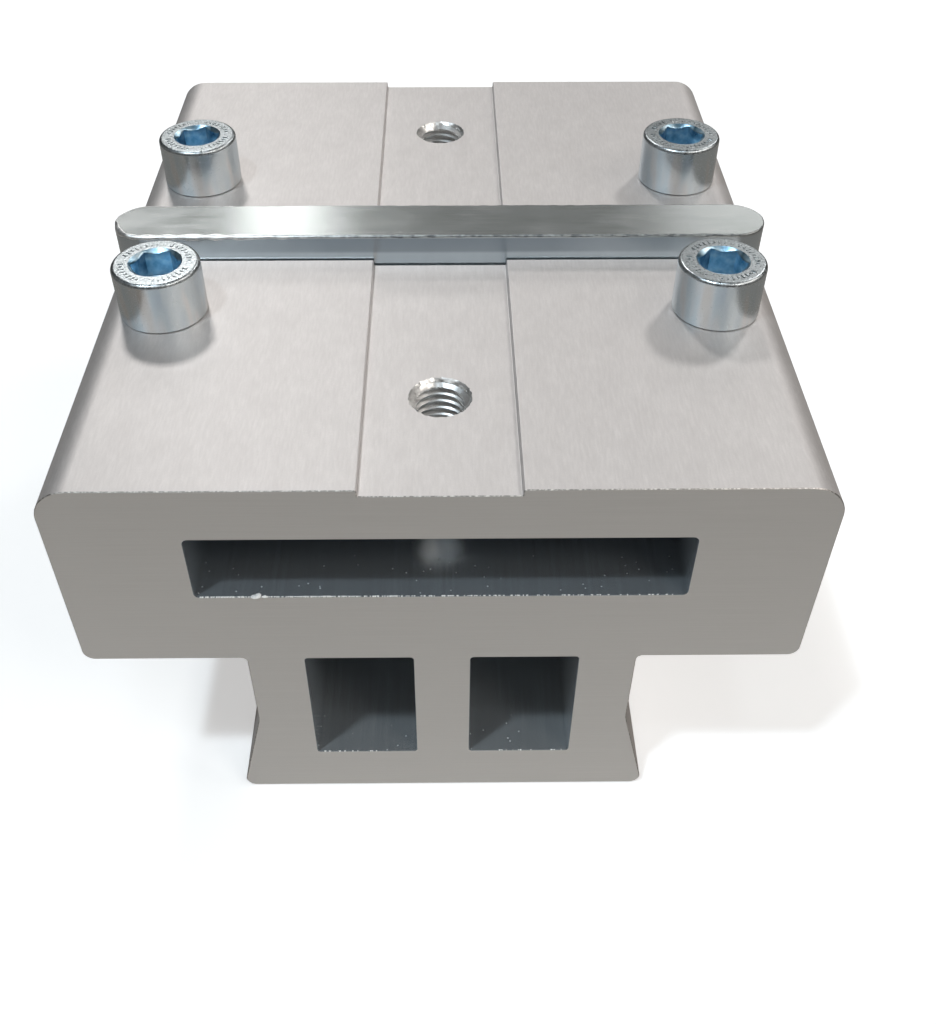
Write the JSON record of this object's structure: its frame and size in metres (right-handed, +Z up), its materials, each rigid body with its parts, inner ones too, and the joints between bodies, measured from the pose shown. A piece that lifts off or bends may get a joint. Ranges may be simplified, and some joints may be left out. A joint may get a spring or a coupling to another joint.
{
  "type": "beam coupling",
  "caption": "Extruded aluminium T block with a cross key, socket head cap screws and tapped holes, for joining two beam ends in line.",
  "frame": {"origin": "middle of the block's length and width, on the plane that its foot stands on", "axes": "+Z up through the head towards the screw heads, +Y along the extrusion from the front end to the rear end, +X to the right seen from the front end"},
  "size_m": [0.128, 0.15, 0.0913],
  "materials": {
    "anodised_aluminium": "satin clear anodised extrusion with sawn, matt end faces",
    "zinc_plated_key_steel": "bright drawn key steel, zinc plated and clear passivated",
    "zinc_plated_screw_steel": "zinc plated with a blue clear passivation, bluer inside the sockets"
  },
  "bodies": {
    "coupling_block": {"coupling_block": "anodised_aluminium"},
    "cross_key": {"cross_key": "zinc_plated_key_steel"},
    "cap_screw_front_left": {"cap_screw_front_left": "zinc_plated_screw_steel"},
    "cap_screw_front_right": {"cap_screw_front_right": "zinc_plated_screw_steel"},
    "cap_screw_rear_left": {"cap_screw_rear_left": "zinc_plated_screw_steel"},
    "cap_screw_rear_right": {"cap_screw_rear_right": "zinc_plated_screw_steel"}
  },
  "joints": [
    {"name": "cross_key_lift", "type": "slide", "parent": "coupling_block", "child": "cross_key", "axis": [0, 0, 1], "range_m": [0, 0.012]},
    {"name": "front_left_screw_out", "type": "slide", "parent": "coupling_block", "child": "cap_screw_front_left", "axis": [0, 0, 1], "range_m": [0, 0.032]},
    {"name": "front_right_screw_out", "type": "slide", "parent": "coupling_block", "child": "cap_screw_front_right", "axis": [0, 0, 1], "range_m": [0, 0.032]},
    {"name": "rear_left_screw_out", "type": "slide", "parent": "coupling_block", "child": "cap_screw_rear_left", "axis": [0, 0, 1], "range_m": [0, 0.032]},
    {"name": "rear_right_screw_out", "type": "slide", "parent": "coupling_block", "child": "cap_screw_rear_right", "axis": [0, 0, 1], "range_m": [0, 0.032]}
  ]
}
